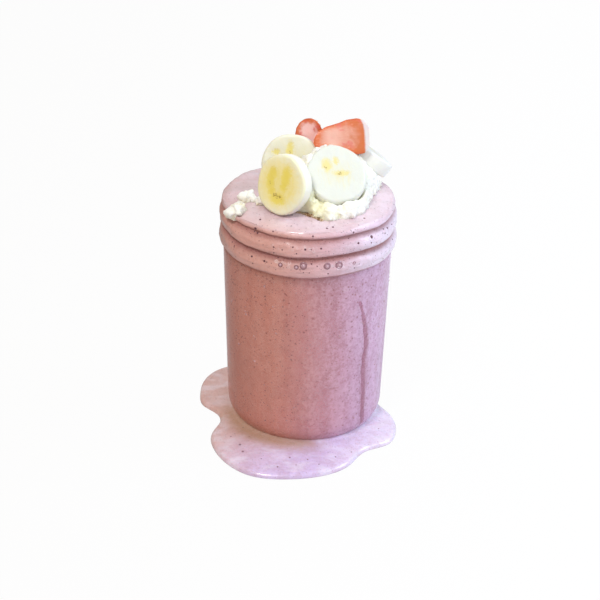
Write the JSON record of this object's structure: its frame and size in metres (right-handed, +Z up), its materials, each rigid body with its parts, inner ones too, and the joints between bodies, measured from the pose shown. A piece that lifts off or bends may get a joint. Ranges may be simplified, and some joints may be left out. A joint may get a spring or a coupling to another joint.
{
  "type": "milkshake in a glass jar",
  "caption": "Pink milkshake filled over the rim of a smooth glass jar, topped with whipped cream, banana slices and strawberry halves, with a spill round the foot.",
  "frame": {"origin": "on the axis of the jar, in the plane of its foot", "axes": "+Z up along the axis of the jar, -Y the front with the widest part of the spill"},
  "size_m": [0.1019, 0.1088, 0.1558],
  "materials": {
    "jar_glass": "clear, smooth, misted over",
    "milkshake": "thick liquid, satin",
    "spill": "wet, satin",
    "cream": "soft, matte",
    "banana": "moist, satin",
    "strawberry": "moist, glossy"
  },
  "bodies": {
    "root": {"jar": "jar_glass", "milkshake": "milkshake", "puddle": "spill", "whipped_cream": "cream", "cream_dab_1": "cream", "cream_dab_2": "cream", "cream_dab_3": "cream", "banana_slice_front": "banana", "banana_slice_back": "banana", "banana_slice_right": "banana", "banana_slice_rear": "banana", "strawberry_left": "strawberry", "strawberry_right": "strawberry"}
  },
  "joints": []
}
